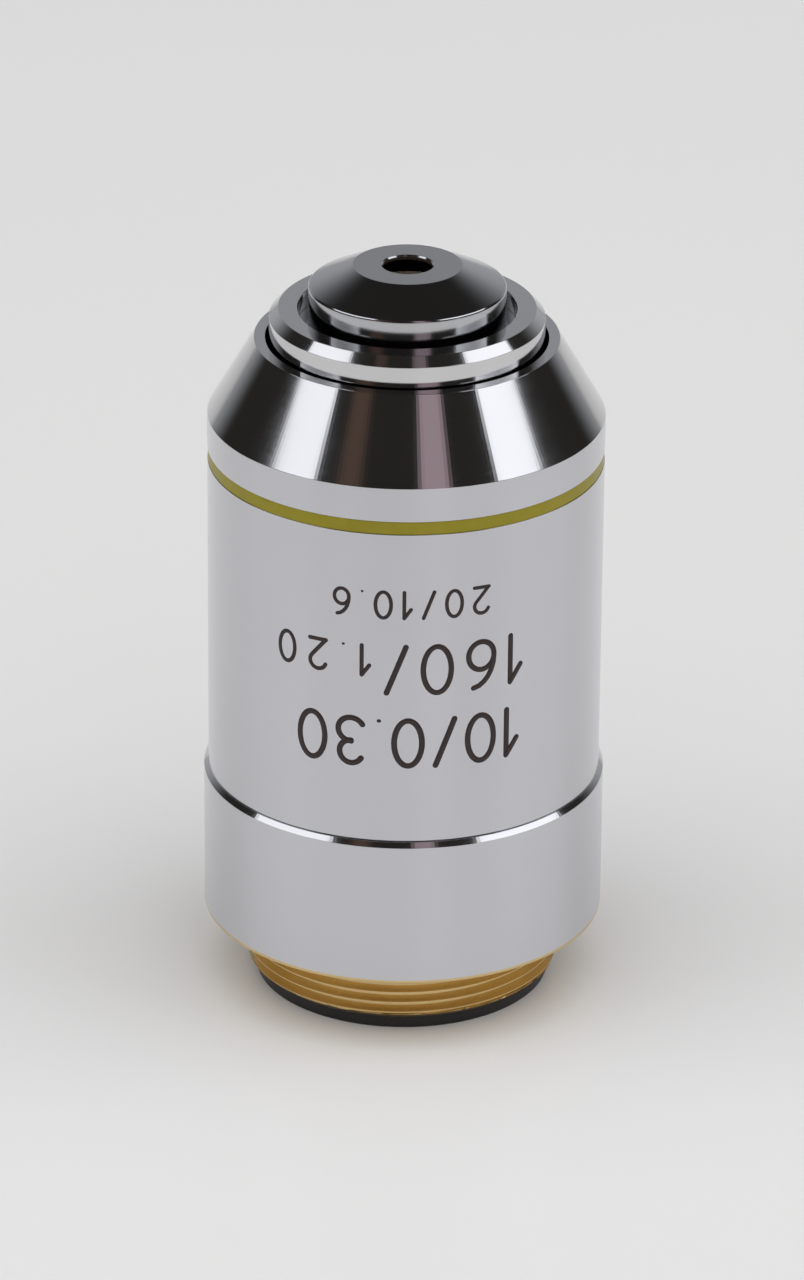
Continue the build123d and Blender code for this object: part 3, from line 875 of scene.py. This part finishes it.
# %% [markdown]
# ## Front ring and nose
# The front ring screws over the neck of the lens tube and holds the front cell down by its flange.
# The cell is the darker piece, plated in a darker nickel. Its nose is a low cone with a soft edge,
# and comes within a few millimetres of the specimen. The light enters through the hole in its top.

# %% The front ring
ring_r = radius_of("front_ring")
ring_foot, ring_top = height_of("front_ring")
ring_chamfer = 0.58
ring_mouth, ring_bore = 6.92, 8.07
lip_foot = ring_top - 1.15
ring_outline = [
    (ring_r, ring_foot, 0.05, OUTER),
    (ring_r, ring_top - ring_chamfer, 0.05, OUTER),
    (ring_r - ring_chamfer, ring_top, 0.05, OUTER),
    (ring_mouth, ring_top, 0.06, OUTER),
    (ring_mouth, lip_foot, 0.03, INNER),
    (ring_bore, lip_foot, 0, INNER),
    (ring_bore, ring_foot, 0.05, INNER),
]
ring_finishes = (polished_chrome,) * 3 + (bare_brass,)
front_ring = turned("front_ring_polished", section_of(ring_outline), ring_finishes, lathe)
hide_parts("front_ring")
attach(front_ring, "root")

# %% The front cell
cell_foot, cell_top = height_of("front_cell")
stack_r, flange_r, nose_r = 7.13, 8.02, 6.25
tube_top, flange_top, nose_edge = 39.0, 40.05, 42.69
nose_flat_r, hole_r, hole_edge, hole_land = 3.44, 1.57, 0.1, 0.29
lens_top, lens_foot = 43.15, 40.76
lens_face_r, lens_seat_r, retainer_bore_r = 3.06, 4.03, 4.65
cell_outline = [
    (stack_r, cell_foot, 0.05, INNER),
    (stack_r, tube_top, 0, INNER),
    (flange_r, tube_top, 0.04, OUTER),
    (flange_r, flange_top, 0.04, OUTER),
    (nose_r, flange_top, 0, OUTER),
    (nose_r, nose_edge, 0.25, OUTER),
    (nose_flat_r, cell_top, 0.05, OUTER),
    (hole_r + hole_edge, cell_top, 0.03, OUTER),
    (hole_r, cell_top - hole_edge, 0.02, INNER),
    (hole_r, cell_top - hole_land, 0, INNER),
    (lens_face_r, lens_top, 0, INNER),
    (lens_seat_r, lens_top, 0, INNER),
    (lens_seat_r, lens_foot, 0, INNER),
    (retainer_bore_r, lens_foot, 0, INNER),
    (retainer_bore_r, cell_foot, 0.05, INNER),
]
cell_finishes = (dark_nickel,) * 3 + (blackened_brass,)
front_cell = turned("nose_cell", section_of(cell_outline), cell_finishes, lathe)
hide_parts("front_cell")
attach(front_cell, "root")

# %% [markdown]
# ## The other solids
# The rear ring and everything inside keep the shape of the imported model. Each gets the finish that
# its slot in the record names.

# %% Finishes by slot
finish_of_slot = {
    "black_ring": black_ring_finish, "bare_brass": bare_brass, "blackened_brass": blackened_brass,
    "black_aluminium": black_aluminium, "crown_glass": crown_glass, "flint_glass": flint_glass,
    "polished_chrome": polished_chrome, "dark_nickel": dark_nickel, "barrel_chrome": satin_chrome,
    "base_chrome": satin_chrome, "band_enamel": band_enamel,
}
for subpart in frame["record"]["subparts"]:
    solid = nodes[subpart["node"]]
    for material_slot in solid.material_slots:
        material_slot.material = finish_of_slot[subpart["material_slot"]]

# %% [markdown]
# ## Sizes
# Both boxes, of the solids and of the dressed part, are printed. The dressed part has to
# stay inside the box of the solids.

# %% Print the sizes
look_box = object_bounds()
boxes = {
    "cad_low": list(cad_box[0]), "cad_high": list(cad_box[1]),
    "look_low": list(look_box[0]), "look_high": list(look_box[1]),
}
for label, corner in boxes.items():
    print(label, [round(value / mm, 3) for value in corner])
